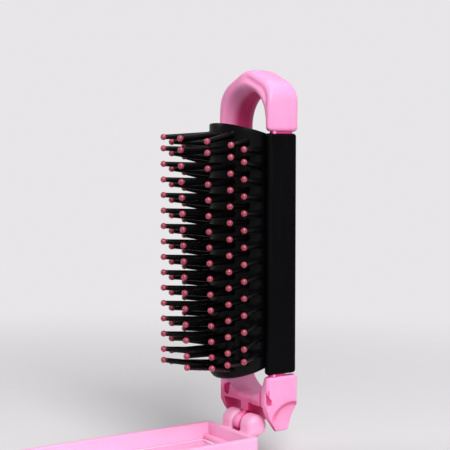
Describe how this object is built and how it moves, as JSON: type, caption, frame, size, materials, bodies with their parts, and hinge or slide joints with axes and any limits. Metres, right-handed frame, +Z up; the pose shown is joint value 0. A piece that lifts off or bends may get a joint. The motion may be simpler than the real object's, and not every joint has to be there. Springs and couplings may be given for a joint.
{
  "type": "pocket mirror comb",
  "caption": "Folding pocket hair brush: a black arched pin pad in a pink frame with a loop end, hinged to a shallow pink tray that holds a long rectangular mirror.",
  "frame": {"origin": "centre of the tray's flat underside, which rests on the table", "axes": "+X along the hinge axis, +Y along the tray from its free end to the hinge end, +Z up; at rest the brush stands at a right angle to the tray with its pins over the mirror"},
  "size_m": [0.0346, 0.1139, 0.1128],
  "materials": {
    "pink_plastic": "satin moulded plastic, pale candy pink",
    "black_plastic": "smooth black polypropylene",
    "ball_tip": "dipped dusty rose balls",
    "mirror": "silvered glass with a bevelled edge",
    "tape": "white double-sided foam tape",
    "pin_steel": "plain steel wire"
  },
  "bodies": {
    "tray": {"tray_shell": "pink_plastic", "mirror_glass": "mirror", "mirror_tape": "tape", "hinge_pin": "pin_steel"},
    "brush": {"frame_arch": "pink_plastic", "frame_yoke": "pink_plastic", "left_side_bar": "black_plastic", "left_rail": "pink_plastic", "left_crown_strip": "black_plastic", "left_crown_balls": "ball_tip", "left_inner_strip": "black_plastic", "left_inner_balls": "ball_tip", "left_outer_strip": "black_plastic", "left_outer_balls": "ball_tip", "left_flank_strip": "black_plastic", "left_flank_balls": "ball_tip", "right_side_bar": "black_plastic", "right_rail": "pink_plastic", "right_crown_strip": "black_plastic", "right_crown_balls": "ball_tip", "right_inner_strip": "black_plastic", "right_inner_balls": "ball_tip", "right_outer_strip": "black_plastic", "right_outer_balls": "ball_tip", "right_flank_strip": "black_plastic", "right_flank_balls": "ball_tip"}
  },
  "joints": [
    {"name": "fold_hinge", "type": "hinge", "parent": "tray", "child": "brush", "pos_m": [0, 0.0536, 0.01065], "axis": [1, 0, 0], "range_deg": [-90, 42]}
  ]
}
